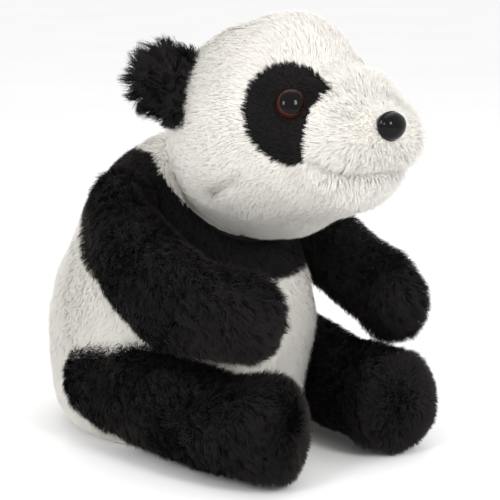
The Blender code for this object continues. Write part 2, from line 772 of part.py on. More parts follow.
def build_leg(label, stations):
    """A leg's fur, its separate sole and its stuffing."""
    pivot = Vector(stations[0][0])
    tip, along = limb_tip(stations)
    inner = cutter(limb_bmesh(stations, FOOT_BULGE, PLUSH, 10, 7), "cut_leg_inside_" + label)
    seam = tip - along * SOLE_BEHIND_TIP
    reach = oval(0.06, 0.06)
    ahead = cutter(column_bmesh(seam, along, reach, SEAM / 2, 0.06), "cut_sole_" + label)
    ahead_wide = cutter(column_bmesh(seam, along, reach, -SEAM / 2, 0.06), "cut_sole_wide_" + label)
    skin = finish(limb_bmesh(stations, FOOT_BULGE), "leg_" + label, pivot)
    remove(skin, inner, ahead_wide)
    black_fur(skin)
    sole = finish(limb_bmesh(stations, FOOT_BULGE), "sole_" + label, pivot)
    keep(sole, ahead)
    remove(sole, inner)
    black_fur(sole)
    filling = finish(
        limb_bmesh(stations, FOOT_BULGE, PLUSH + LOOSE_GAP, 10, 7), "leg_stuffing_" + label, pivot)
    stuffing(filling)


def limb_sockets():
    """Cutters for the room that the limbs take in the torso; the legs' room covers their splay."""
    rooms = []
    for name, stations, bulge, turns in (
            ("arm_right", ARM_RIGHT, PAW_BULGE, (0,)), ("arm_left", ARM_LEFT, PAW_BULGE, (0,)),
            ("leg_right", LEG_RIGHT, FOOT_BULGE, LEG_SPLAY),
            ("leg_left", LEG_LEFT, FOOT_BULGE, LEG_SPLAY)):
        pivot = Vector(stations[0][0])
        for turn in turns:
            bm = limb_bmesh(stations, bulge, -2 * JOINT_GAP - SPLAY_GROWTH * turn)
            spin = Matrix.Rotation(math.copysign(math.radians(turn), pivot.x), 3, "Z")
            bmesh.ops.rotate(bm, verts=bm.verts, cent=pivot, matrix=spin)
            rooms.append(cutter(bm, "cut_room_%s_%d" % (name, turn)))
    return rooms


def main():
    for old in list(bpy.data.objects):
        bpy.data.objects.remove(old, do_unlink=True)
    limb_room = limb_sockets()
    neck_room = cutter(ball_bmesh(HEAD_CENTRE, NECK_LENS[1] + 2 * JOINT_GAP, 32, 16), "cut_neck_room")
    build_torso(limb_room, neck_room)
    build_neck()
    below_neck = set(bpy.data.objects)
    build_head()
    build_ears()
    turned = bpy.data.objects.new("head_turn", None)
    turned.location = HEAD_CENTRE
    turned.rotation_euler.z = HEAD_TURN
    for thing in set(bpy.data.objects) - below_neck - {turned}:
        thing.parent = turned
        thing.location -= HEAD_CENTRE
    bpy.context.scene.collection.objects.link(turned)
    build_arm("right", ARM_RIGHT)
    build_arm("left", ARM_LEFT)
    build_leg("right", LEG_RIGHT)
    build_leg("left", LEG_LEFT)


main()
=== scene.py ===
"""Looks of the seated plush panda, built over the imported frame.

Metres, +Z up.  The panda faces -Y and its right side is -X.  Every fur panel is a skin, swollen by
cloth pressure, with its pile standing on it as real strands.
"""
import json
import math

import bmesh
import bpy
import numpy as np
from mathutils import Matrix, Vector, kdtree


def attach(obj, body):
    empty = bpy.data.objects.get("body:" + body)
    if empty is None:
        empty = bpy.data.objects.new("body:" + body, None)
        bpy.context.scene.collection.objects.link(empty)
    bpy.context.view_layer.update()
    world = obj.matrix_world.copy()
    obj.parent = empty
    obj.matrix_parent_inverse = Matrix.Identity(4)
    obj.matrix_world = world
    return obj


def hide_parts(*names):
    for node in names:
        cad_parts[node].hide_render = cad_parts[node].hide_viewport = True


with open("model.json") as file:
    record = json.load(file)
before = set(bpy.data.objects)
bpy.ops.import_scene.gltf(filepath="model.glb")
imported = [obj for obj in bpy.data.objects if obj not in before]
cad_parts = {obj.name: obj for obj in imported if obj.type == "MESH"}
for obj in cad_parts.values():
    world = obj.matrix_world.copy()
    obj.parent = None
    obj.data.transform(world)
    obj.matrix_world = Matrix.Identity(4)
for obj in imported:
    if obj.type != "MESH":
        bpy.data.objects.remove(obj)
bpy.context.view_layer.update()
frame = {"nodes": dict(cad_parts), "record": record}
RECORD = frame["record"]
JOINTS = {joint["name"]: joint for joint in RECORD["behaviour"]["joints"]}
SLOT_OF = {part["node"]: part["material_slot"] for part in RECORD["subparts"]}
BODY_OF = {node: body for body, nodes in RECORD["behaviour"]["bodies"].items() for node in nodes}
RNG = np.random.default_rng(11)

# --- shape of the panda -----------------------------------------------------------------------------
HEAD_CENTRE = np.array(JOINTS["head_turn"]["pos_m"])
NOD_AXIS = JOINTS["head_nod"]["axis"]
HEAD_TURN = math.atan2(NOD_AXIS[1], NOD_AXIS[0])
HEAD_RADIUS = 0.060
LOBES = (                           # middles from the head's centre, and half sizes
    ((0.0, -0.048, 0.001), (0.045, 0.042, 0.039)),       # muzzle
    ((0.0, -0.036, -0.021), (0.044, 0.034, 0.027)),      # jaw
    ((0.0, -0.012, 0.0225), (0.038, 0.040, 0.046)),      # brow
)
LOBE_BLEND = 0.006
MUZZLE_START = -0.053               # how far ahead of the head's centre the muzzle's seam runs
GUSSET_HALF = 0.019                 # half width of the strip over the head
EYE_AIM = np.array((0.652, -0.706, 0.345))
EYE_RADIUS = 0.00825 * 0.94
EYE_SEAT = -0.0010                  # how far a button's rim stands above the head's surface
PATCH_AIM = np.array((0.640, -0.738, 0.268))
PATCH_HALF = (0.0234, 0.0256)
PATCH_LEAN = math.radians(22)
NOSE_AIM = np.array((-0.085, -0.990, 0.110))
NOSE_HALF = (0.0093, 0.0077)
NOSE_SEAT = -0.0026
NOSE_TAPER = 0.10                   # how much wider the nose is above its middle
EAR_AIM = np.array((0.80, 0.46, 0.39))
EAR_HALF_LENGTH = 0.0225
EAR_REACH = 0.028
EAR_HALF_THICK = 0.0062
EAR_SEAT = (-0.0047, -0.0048, -0.0008)   # the left ear's base from its hinge, in head axes
TORSO_PROFILE = np.array((          # height, middle's y, half width, half depth
    (0.000, 0.000, 0.0620, 0.0700),
    (0.005, 0.000, 0.0675, 0.0750),
    (0.020, 0.000, 0.0725, 0.0805),
    (0.045, 0.000, 0.0745, 0.0830),
    (0.077, 0.000, 0.0720, 0.0800),
    (0.095, 0.000, 0.0670, 0.0755),
    (0.115, -0.002, 0.0600, 0.0660),
    (0.135, -0.001, 0.0500, 0.0570),
    (0.150, 0.000, 0.0390, 0.0430),
    (0.160, 0.000, 0.0280, 0.0300),
    (0.168, 0.000, 0.0140, 0.0150),
))
TORSO_TOP = 0.171
YOKE_FRONT = 0.0965                 # heights of the yoke's lower edge, front and back
YOKE_BACK = 0.124
YOKE_TURN = (math.radians(90), math.radians(138))
NECK_ROOM = 0.0635                  # radius of the socket that the head turns in, about its centre
NAPE_FRONT = 0.118                  # the same for the yoke's upper edge
NAPE_BACK = 0.160
NAPE_TURN = (math.radians(5), math.radians(85))
CHEST_HALF = 0.052
CHEST_BACK = -0.020
SOLE_BEHIND_TIP = 0.001             # where a sole's seam lies behind the leg's last station
FOOT_BULGE = 0.012
PAW_BULGE = 0.022
LIMBS = {                           # stations along each limb: x, y, z, half width, half height
    "arm_right": (
        (-0.056, -0.011, 0.136, 0.0190, 0.0200), (-0.068, -0.031, 0.1145, 0.0200, 0.0275),
        (-0.074, -0.060, 0.101, 0.0205, 0.0290), (-0.073, -0.086, 0.0935, 0.0210, 0.0265),
        (-0.064, -0.110, 0.091, 0.0195, 0.0235)),
    "arm_left": (
        (0.056, -0.011, 0.133, 0.0180, 0.0190), (0.066, -0.037, 0.111, 0.0195, 0.0225),
        (0.071, -0.062, 0.093, 0.0195, 0.0230), (0.071, -0.087, 0.083, 0.0195, 0.0230),
        (0.0645, -0.1025, 0.078, 0.0190, 0.0220)),
    "leg_right": (
        (-0.054, 0.003, 0.036, 0.0260, 0.0295), (-0.058, -0.038, 0.034, 0.0250, 0.0310),
        (-0.060, -0.076, 0.030, 0.0230, 0.0270), (-0.058, -0.106, 0.030, 0.0240, 0.0280),
        (-0.050, -0.125, 0.031, 0.0250, 0.0290)),
    "leg_left": (
        (0.054, 0.003, 0.036, 0.0260, 0.0295), (0.052, -0.040, 0.034, 0.0250, 0.0310),
        (0.044, -0.080, 0.030, 0.0240, 0.0275), (0.038, -0.109, 0.0295, 0.0270, 0.0280),
        (0.036, -0.132, 0.0295, 0.0285, 0.0285)),
}

# How deep the backing lies under each panel's outer surface, which is the tips of its pile.
PANEL_DEPTH = 0.0028
MUZZLE_DEPTH = 0.0035
LIMB_DEPTH = 0.0030
EAR_DEPTH = 0.0015
SEAT_DEPTH = 0.0004
BRIDGE_HOLLOW = 0.0036              # how far the sewn muzzle is drawn in above the nose
CHIN_HOLLOW = 0.0064                # and below it
CHEEK_FOLD = 0.0038
LIP_CREASE = 0.0062
CLOTH_STEPS = 14
TORSO_COLUMNS = 48
LIMB_COLUMNS = 32
LIMB_ROWS = 18
BUTTON_COLUMNS = 64


# --- small tools ------------------------------------------------------------------------------------
def unit(v):
    v = np.asarray(v, float)
    return v / np.maximum(np.linalg.norm(v, axis=-1, keepdims=True), 1e-12)


def smoothstep(low, high, x):
    t = np.clip((x - low) / (high - low), 0.0, 1.0)
    return t * t * (3 - 2 * t)


def mirrored(v, side):
    """The right side's reading (side -1) of a vector written for the left."""
    return np.array((v[0] * side, v[1], v[2]))


def wander(p, scale, seed):
    """Three smooth pseudo-random values in about -1..1 for each point, varying over scale metres."""
    rng = np.random.default_rng(seed)
    total = np.zeros((len(p), 3))
    for _ in range(6):
        k = unit(rng.normal(size=(3, 3))) * rng.uniform(0.6, 1.5, (3, 1)) * (2 * math.pi / scale)
        total += np.sin(p @ k.T + rng.uniform(0, 6.28, 3))
    return total / 2.4


def head_to_world(p):
    """Head axes (before the head's turn) to the row frame."""
    c, s = math.cos(HEAD_TURN), math.sin(HEAD_TURN)
    x, y = p[..., 0], p[..., 1]
    return np.stack((x * c - y * s, x * s + y * c, p[..., 2]), -1) + HEAD_CENTRE


def world_to_head(p):
    """The row frame to head axes."""
    q = p - HEAD_CENTRE
    c, s = math.cos(HEAD_TURN), math.sin(HEAD_TURN)
    x, y = q[..., 0], q[..., 1]
    return np.stack((x * c + y * s, -x * s + y * c, q[..., 2]), -1)


def turn_to_world(v):
    """A direction in head axes, turned to the row frame."""
    return head_to_world(np.asarray(v, float)) - HEAD_CENTRE


def head_reach(directions):
    """Radius of the head in unit directions given in head axes."""
    total = np.zeros(len(directions))
    for centre, half in LOBES:
        d = directions / np.array(half)
        c = np.array(centre) / np.array(half)
        along = d @ c
        size = (d * d).sum(1)
        room = along ** 2 - size * (c @ c - 1.0)
        reach = np.where(room > 0, (along + np.sqrt(np.maximum(room, 0))) / size, 0)
        total += np.maximum(reach - HEAD_RADIUS, 0) ** 2
    swell = np.sqrt(total)
    return HEAD_RADIUS + swell ** 2 / (swell + LOBE_BLEND)


def head_point(aim):
    aim = unit(aim)
    return aim * head_reach(aim[None])[0]


def axes_towards(aim):
    """Sideways, upward and outward unit vectors of a place on the head, in head axes."""
    z = unit(aim)
    x = unit(np.cross((0, 0, 1), z))
    return x, np.cross(z, x), z


def round_from_chest(p):
    """How far round the torso each point is: 0 at the middle of the chest, pi at the back."""
    return np.abs(np.arctan2(p[:, 0], -p[:, 1]))


def yoke_edge(angle):
    """Height of the black yoke's lower edge, at an angle round from the chest."""
    return YOKE_FRONT + (YOKE_BACK - YOKE_FRONT) * smoothstep(*YOKE_TURN, angle)


def nape_edge(angle):
    """Height of the yoke's upper edge, where the white nape starts."""
    return NAPE_FRONT + (NAPE_BACK - NAPE_FRONT) * smoothstep(*NAPE_TURN, angle)


def circle(columns):
    """Angles of a closed ring of points."""
    return np.linspace(0, 2 * math.pi, columns, endpoint=False)


# --- closed shapes ----------------------------------------------------------------------------------
def loft(rings, first, last):
    """A closed mesh from equal rings, with a pole at each end."""
    rings = np.array(rings)
    rows, columns = rings.shape[:2]
    verts = [tuple(v) for v in rings.reshape(-1, 3)]
    faces = []
    for i in range(rows - 1):
        for j in range(columns):
            k = (j + 1) % columns
            here, ahead = i * columns, (i + 1) * columns
            faces.append((here + j, here + k, ahead + k, ahead + j))
    for pole, row, flip in ((first, 0, True), (last, rows - 1, False)):
        verts.append(tuple(pole))
        for j in range(columns):
            a, b = row * columns + j, row * columns + (j + 1) % columns
            faces.append((b, a, len(verts) - 1) if flip else (a, b, len(verts) - 1))
    return verts, faces


def torso_shape():
    heights = np.array((0.0, 0.004, 0.012, 0.022, 0.032, 0.042, 0.052, 0.062, 0.072, 0.082, 0.092, 0.102,
                        0.112, 0.122, 0.132, 0.142, 0.151, 0.158, 0.164, 0.1685))

    def ring(height, shrink=1.0):
        centre, wide, deep = (
            np.interp(height, TORSO_PROFILE[:, 0], TORSO_PROFILE[:, k]) * shrink for k in (1, 2, 3))
        return [(wide * math.sin(a), centre - deep * math.cos(a), height)
                for a in circle(TORSO_COLUMNS)]

    rings = [ring(0.0, shrink) for shrink in (0.35, 0.7)] + [ring(height) for height in heights]
    return loft(rings, (0, 0, 0), (0, 0, TORSO_TOP))


def spline(stations, t):
    """Catmull-Rom reading of a limb's stations."""
    last = len(stations) - 1
    i = min(int(t), last - 1)
    f = t - i
    p0, p1, p2, p3 = (np.array(stations[min(max(k, 0), last)]) for k in range(i - 1, i + 3))
    if i == 0:
        p0 = p1 * 2 - p2
    if i == last - 1:
        p3 = p2 * 2 - p1
    return 0.5 * (p1 * 2 + (p2 - p0) * f + (p0 * 2 - p1 * 5 + p2 * 4 - p3) * f * f
                  + (p1 * 3 - p0 - p2 * 3 + p3) * f ** 3)


def limb_axis(stations, t):
    """Middle, forward direction, half width and half height at t."""
    last = len(stations) - 1
    here = spline(stations, t)
    ahead = spline(stations, min(t + 0.02, last))[:3]
    behind = spline(stations, max(t - 0.02, 0.0))[:3]
    return here[:3], unit(ahead - behind), here[3], here[4]


def limb_shape(stations, bulge):
    """A limb from its rounded root, along its stations, to its bulging end."""
    last = len(stations) - 1
    level = np.array((0.0, 0.0, 1.0))
    rings = []

    def add_ring(middle, across, upward, wide, high):
        rings.append([middle + across * wide * math.cos(a) + upward * high * math.sin(a)
                      for a in circle(LIMB_COLUMNS)])

    middle, along, wide, high = limb_axis(stations, 0.0)
    across = unit(np.cross(along, level))
    back = np.cross(level, across)
    for turn in (78, 62, 46, 30, 15):
        a = math.radians(turn)
        shrink = math.cos(a)
        add_ring(middle - back * wide * math.sin(a), across, level, wide * shrink, high * shrink)
    pole = middle - back * wide
    for row in range(LIMB_ROWS + 1):
        t = last * row / LIMB_ROWS
        middle, along, wide, high = limb_axis(stations, t)
        across = unit(np.cross(along, level))
        lean = smoothstep(0.0, 2.4, t)
        upward = unit(level * (1 - lean) + np.cross(across, along) * lean)
        add_ring(middle, across, upward, wide, high)
    for turn in (15, 30, 45, 60, 75):
        a = math.radians(turn)
        shrink = math.cos(a) ** 0.8
        add_ring(middle + along * bulge * math.sin(a), across, upward, wide * shrink, high * shrink)
    return loft(rings, pole, middle + along * bulge)


def ball_shape(subdivisions):
    bm = bmesh.new()
    bmesh.ops.create_icosphere(bm, subdivisions=subdivisions, radius=1.0)
    verts = np.array([v.co for v in bm.verts])
    faces = [tuple(v.index for v in f.verts) for f in bm.faces]
    bm.free()
    return verts, faces


def head_shape():
    verts, faces = ball_shape(5)
    verts = unit(verts)
    return head_to_world(verts * head_reach(verts)[:, None]), faces


def ear_frame(side):
    """Middle of the ear's base and its three directions, in the row frame."""
    joint = JOINTS["ear_flex_" + ("right" if side < 0 else "left")]
    edge = unit(joint["axis"])
    outward = unit(turn_to_world(mirrored(EAR_AIM, side)))
    seat = turn_to_world(mirrored(EAR_SEAT, side))
    return np.array(joint["pos_m"]) + seat, edge, outward, np.cross(edge, outward)


def ear_shape(side):
    """A round, flat ear: a ball drawn out from its base, with a shallow half behind it."""
    middle, edge, outward, through = ear_frame(side)
    verts, faces = ball_shape(4)
    along, out, across = verts[:, 2], verts[:, 0], verts[:, 1]
    reach = np.where(out > 0, EAR_REACH, EAR_HALF_THICK)
    p = (middle + edge * (along * EAR_HALF_LENGTH)[:, None] + outward * (out * reach)[:, None]
         + through * (across * EAR_HALF_THICK)[:, None])
    return p, faces


# --- cloth ------------------------------------------------------------------------------------------
def mesh_object(name, verts, faces):
    mesh = bpy.data.meshes.new(name)
    mesh.from_pydata([tuple(v) for v in verts], [], faces)
    mesh.update()
    made = bpy.data.objects.new(name, mesh)
    bpy.context.scene.collection.objects.link(made)
    return made


def outward_faces(made):
    bm = bmesh.new()
    bm.from_mesh(made.data)
    bmesh.ops.recalc_face_normals(bm, faces=bm.faces)
    bm.to_mesh(made.data)
    bm.free()


def stuffed(name, shape, held, swell, levels):
    """Swells a closed fabric shape by cloth pressure, held at its seams, and smooths it.

    held gives how firmly each point stays, from 0 to 1; swell caps how far a point may move.
    """
    made = mesh_object(name, *shape)
    outward_faces(made)
    start = np.array([v.co for v in made.data.vertices])
    group = made.vertex_groups.new(name="held")
    for i, weight in enumerate(held(start)):
        group.add([i], float(weight), "REPLACE")
    cloth = made.modifiers.new("stuffing", "CLOTH")
    kind = cloth.settings
    kind.quality = 6
    kind.mass = 0.25
    kind.tension_stiffness = 18
    kind.compression_stiffness = 18
    kind.shear_stiffness = 8
    kind.bending_stiffness = 0.6
    kind.use_pressure = True
    kind.uniform_pressure_force = 4.0
    kind.vertex_group_mass = "held"
    kind.effector_weights.gravity = 0.0
    cloth.collision_settings.use_collision = False
    scene = bpy.context.scene
    for step in range(1, CLOTH_STEPS + 1):
        scene.frame_set(step)
    puffed = made.evaluated_get(bpy.context.evaluated_depsgraph_get()).to_mesh()
    end = np.array([v.co for v in puffed.vertices])
    made.modifiers.remove(cloth)
    scene.frame_set(1)
    move = end - start
    move -= move.mean(0)
    size = np.linalg.norm(move, axis=1, keepdims=True)
    move *= np.minimum(1.0, swell / np.maximum(size, 1e-9))
    made.data.vertices.foreach_set("co", (start + move).ravel())
    made.data.update()
    if levels:
        smooth = made.modifiers.new("smooth", "SUBSURF")
        smooth.levels = levels
    bpy.context.view_layer.update()
    fine = bpy.data.meshes.new_from_object(made.evaluated_get(bpy.context.evaluated_depsgraph_get()))
    fine.calc_loop_triangles()
    verts = np.empty(len(fine.vertices) * 3)
    fine.vertices.foreach_get("co", verts)
    verts = verts.reshape(-1, 3)
    tris = np.empty(len(fine.loop_triangles) * 3, int)
    fine.loop_triangles.foreach_get("vertices", tris)
    tris = tris.reshape(-1, 3)
    bpy.data.objects.remove(made)
    bpy.data.meshes.remove(fine)
    return verts, tris


def normals_of(verts, tris):
    cross = np.cross(verts[tris[:, 1]] - verts[tris[:, 0]], verts[tris[:, 2]] - verts[tris[:, 0]])
    normals = np.zeros_like(verts)
    for k in range(3):
        np.add.at(normals, tris[:, k], cross)
    return unit(normals)


# --- materials --------------------------------------------------------------------------------------
def node_material(name):
    made = bpy.data.materials.new(name)
    made.use_nodes = True
    tree = made.node_tree
    return made, tree, tree.nodes["Principled BSDF"]


def noise_ramp(tree, scale, detail, low, high):
    """A noise between two colours, laid out in the frame's own metres."""
    coords = tree.nodes.new("ShaderNodeNewGeometry")
    texture = tree.nodes.new("ShaderNodeTexNoise")
    texture.inputs["Scale"].default_value = scale
    texture.inputs["Detail"].default_value = detail
    tree.links.new(coords.outputs["Position"], texture.inputs["Vector"])
    ramp = tree.nodes.new("ShaderNodeValToRGB")
    ramp.color_ramp.elements[0].position = 0.3
    ramp.color_ramp.elements[1].position = 0.7
    ramp.color_ramp.elements[0].color = (*low, 1)
    ramp.color_ramp.elements[1].color = (*high, 1)
    tree.links.new(texture.outputs["Fac"], ramp.inputs["Fac"])
    return texture, ramp


def skin_material(name, low, high, sheen):
    """The knitted backing with the roots of its pile."""
    made, tree, shader = node_material(name)
    _, ramp = noise_ramp(tree, 90, 5, low, high)
    tree.links.new(ramp.outputs["Color"], shader.inputs["Base Color"])
    shader.inputs["Roughness"].default_value = 0.95
    shader.inputs["Specular IOR Level"].default_value = 0.15
    shader.inputs["Sheen Weight"].default_value = sheen
    fibres, _ = noise_ramp(tree, 1400, 3, (0, 0, 0), (1, 1, 1))
    bump = tree.nodes.new("ShaderNodeBump")
    bump.inputs["Strength"].default_value = 0.7
    bump.inputs["Distance"].default_value = 0.0008
    tree.links.new(fibres.outputs["Fac"], bump.inputs["Height"])
    tree.links.new(bump.outputs["Normal"], shader.inputs["Normal"])
    return made


def strand_material(name, colour, sheen, tint):
    made, _, shader = node_material(name)
    shader.inputs["Base Color"].default_value = (*colour, 1)
    shader.inputs["Roughness"].default_value = 0.85
    shader.inputs["Specular IOR Level"].default_value = 0.2
    shader.inputs["Sheen Weight"].default_value = sheen
    shader.inputs["Sheen Roughness"].default_value = 0.4
    shader.inputs["Sheen Tint"].default_value = (*tint, 1)
    return made


def tones(name, root, tip, spread, sheen, tint):
    """Root and tip materials of three strand tones, from dull to bright; a root colour darker than its
    tip is painted shade at the foot of the pile.
    """
    made = []
    for k in range(3):
        gain = 1 + spread * (k - 1)
        for end, colour, shine in (("root", root, sheen * 0.5), ("tip", tip, sheen)):
            made.append(strand_material(f"{name}_{end}_{k}", [c * gain for c in colour], shine, tint))
    return made


# Both piles' root colours are darker than their tips: painted shade at the foot of the pile.
WHITE_TONES = tones("white_pile", root=(0.835, 0.805, 0.745), tip=(0.868, 0.843, 0.79),
                    spread=0.012, sheen=0.28, tint=(1, 0.98, 0.95))
BLACK_TONES = tones("black_pile", root=(0.0035, 0.0032, 0.0032), tip=(0.0085, 0.0072, 0.0070),
                    spread=0.4, sheen=0.07, tint=(0.75, 0.62, 0.58))
WHITE_SKIN = skin_material("white_skin", (0.82, 0.79, 0.73), (0.87, 0.845, 0.79), 0.2)
BLACK_SKIN = skin_material("black_skin", (0.003, 0.0028, 0.0028), (0.007, 0.006, 0.006), 0.03)


# --- pile -------------------------------------------------------------------------------------------
ROOT_SINK = 0.0004                  # how far a strand starts under its backing
# Kinds of pile. clump is how far a strand's tip is drawn to the middle strand of its clump.
FINE = {"width": 0.00027, "clump": 0.12, "unruly": 0.085}
MUZZLE_PILE = {"width": 0.00027, "clump": 0.32, "unruly": 0.15}
PATCH_PILE = {"width": 0.00030, "clump": 0.30, "unruly": 0.14}
YOKE_PILE = {}
LIMB_PILE = {"clump": 0.58, "clump_size": 24, "unruly": 0.26}
SOLE_PILE = {"clump": 0.5}
EAR_PILE = {"clump": 0.88, "clump_size": 44, "unruly": 0.36}


def scatter(verts, normals, tris, chosen, density):
    """Random roots on the chosen triangles, so many a square millimetre: places and normals."""
    a, b, c = (verts[tris[chosen, k]] for k in range(3))
    area = 0.5 * np.linalg.norm(np.cross(b - a, c - a), axis=1)
    count = int(area.sum() * density * 1e6)
    pick = RNG.choice(len(chosen), size=count, p=area / area.sum())
    u, v = RNG.random(count), RNG.random(count)
    over = u + v > 1
    u[over], v[over] = 1 - u[over], 1 - v[over]
    w = np.stack((1 - u - v, u, v), 1)[:, :, None]
    corner = tris[chosen[pick]]
    return (verts[corner] * w).sum(1), unit((normals[corner] * w).sum(1))


def pile(name, root, normal, groom, length, lean, tone_set, width=0.00036, clump=0.45, clump_size=14,
         unruly=0.22):
    """Strands of fur: each a narrow blade of a quad and a tip, gathered in clumps.

    groom is the way that the pile lies, lean how far it lies over (0 upright, 1 flat), and length
    is in metres for each strand.
    """
    count = len(root)
    groom = unit(groom - normal * (groom * normal).sum(1, keepdims=True))
    stray = RNG.normal(size=(count, 3)) * unruly
    lean = np.clip(lean + RNG.normal(size=count) * 0.06, 0.05, 0.97)[:, None]
    stand = np.sqrt(1 - lean ** 2)
    aim = unit(normal * stand + groom * lean + stray)
    length = (length * RNG.uniform(0.78, 1.12, count))[:, None]
    middle = root + unit(aim + normal * 0.45) * length * 0.5
    tip = root + aim * length * 0.97
    centres = RNG.choice(count, size=max(count // clump_size, 1), replace=False)
    tree = kdtree.KDTree(len(centres))
    for k, i in enumerate(centres):
        tree.insert(root[i], k)
    tree.balance()
    nearest = np.array([centres[tree.find(p)[1]] for p in root])
    pull = clump * RNG.uniform(0.5, 1.0, count)[:, None]
    tip += (tip[nearest] - tip) * pull
    middle += (middle[nearest] - middle) * pull * 0.35
    side = unit(np.cross(tip - root, normal) + RNG.normal(size=(count, 3)) * length * 0.25)
    half = side * width * RNG.uniform(0.35, 0.65, count)[:, None]
    sunk = normal * ROOT_SINK
    verts = np.stack((root - half - sunk, root + half - sunk,
                      middle + half * 0.85, middle - half * 0.85, tip), 1).reshape(-1, 3)
    base = np.arange(count) * 5
    corners = np.stack((base, base + 1, base + 2, base + 3, base + 3, base + 2, base + 4), 1).ravel()
    mesh = bpy.data.meshes.new(name)
    mesh.vertices.add(len(verts))
    mesh.vertices.foreach_set("co", verts.ravel())
    mesh.loops.add(len(corners))
    mesh.loops.foreach_set("vertex_index", corners)
    mesh.polygons.add(count * 2)
    starts = np.stack((np.arange(count) * 7, np.arange(count) * 7 + 4), 1).ravel()
    mesh.polygons.foreach_set("loop_start", starts)
    patchy = wander(root, 0.03, 5)[:, 0] * 0.6
    tone = np.clip(np.round(RNG.normal(size=count) * 0.7 + patchy), -1, 1).astype(int) + 1
    # Each blade's quad at the root takes the darker root tone, painted shade at the foot of the pile;
    # its tip takes the tip tone.
    slots = np.stack((tone * 2, tone * 2 + 1), 1).ravel()
    for material in tone_set:
        mesh.materials.append(material)
    mesh.polygons.foreach_set("material_index", slots)
    mesh.polygons.foreach_set("use_smooth", np.ones(count * 2, bool))
    mesh.update(calc_edges=True)
    soft = unit(normal[:, None, :] + 0.35 * unit(np.stack((groom,) * 5, 1)) * lean[:, None, :]
                + 0.15 * np.stack((stray,) * 5, 1))
    mesh.normals_split_custom_set_from_vertices(soft.reshape(-1, 3))
    made = bpy.data.objects.new(name, mesh)
    bpy.context.scene.collection.objects.link(made)
    return made


def skin_piece(name, verts, tris, chosen, material):
    used, again = np.unique(tris[chosen], return_inverse=True)
    made = mesh_object(name, verts[used], [tuple(f) for f in again.reshape(-1, 3)])
    made.data.polygons.foreach_set("use_smooth", np.ones(len(made.data.polygons), bool))
    made.data.materials.append(material)
    return made


def furnish(node, verts, tris, normals, chosen, groom, length, lean, density, kind, keep=None,
            also=()):
    """The skin and the pile of one CAD panel, riding on its body.

    keep tells which strands to leave in; also names the stuffing that the skin hides.
    """
    black = SLOT_OF[node] == "black_fur"
    skin = skin_piece(node + "_skin", verts, tris, chosen, BLACK_SKIN if black else WHITE_SKIN)
    root, normal = scatter(verts, normals, tris, chosen, density)
    if keep is not None:
        wanted = keep(root)
        root, normal = root[wanted], normal[wanted]
    strands = pile(node + "_pile", root, normal, groom(root), length(root), lean(root),
                   BLACK_TONES if black else WHITE_TONES, **kind)
    for piece in (skin, strands):
        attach(piece, BODY_OF[node])
    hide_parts(node, *also)


def constant(value):
    """The same reading at every point."""
    return lambda p: np.full(len(p), value)


# --- head -------------------------------------------------------------------------------------------
def patch_reading(h):
    """0 at the middle of the nearer eye patch, 1 at its edge, for points in head axes."""
    best = np.full(len(h), 9.0)
    for side in (-1, 1):
        aim = unit(mirrored(PATCH_AIM, side))
        x, y, z = axes_towards(aim)
        d = h - head_point(aim)
        u, v = d @ x, d @ y
        c, s = math.cos(side * PATCH_LEAN), math.sin(side * PATCH_LEAN)
        u, v = u * c - v * s, u * s + v * c
        r = np.sqrt((u / PATCH_HALF[0]) ** 2 + (v / PATCH_HALF[1]) ** 2)
        best = np.where((h @ z > 0) & (r < best), r, best)
    return best


def muzzle_edge(h):
    """Where the muzzle's seam runs: further forward over the bridge, where the patches reach in."""
    return MUZZLE_START + 0.0010 - 0.5 * np.clip(h[:, 2] - 0.019, 0, 0.014)


def head_label(h):
    """Which panel each point of the head belongs to."""
    inside = patch_reading(h) < 1
    right = h[:, 0] < 0
    label = np.where(right, "head_side_right", "head_side_left").astype(object)
    label[(np.abs(h[:, 0]) < GUSSET_HALF) & (h[:, 2] > 0)] = "head_gusset"
    label[inside & right] = "eye_patch_right"
    label[inside & ~right] = "eye_patch_left"
    label[h[:, 1] < muzzle_edge(h)] = "muzzle_panel"
    return label


def lip_reading(h):
    """1 along the crease under the upper lip, on both sides of the muzzle, fading to 0."""
    crease = np.exp(-((h[:, 2] + 0.0135 - 0.22 * (h[:, 1] + 0.070)) / 0.0036) ** 2)
    return crease * smoothstep(-0.052, -0.061, h[:, 1])


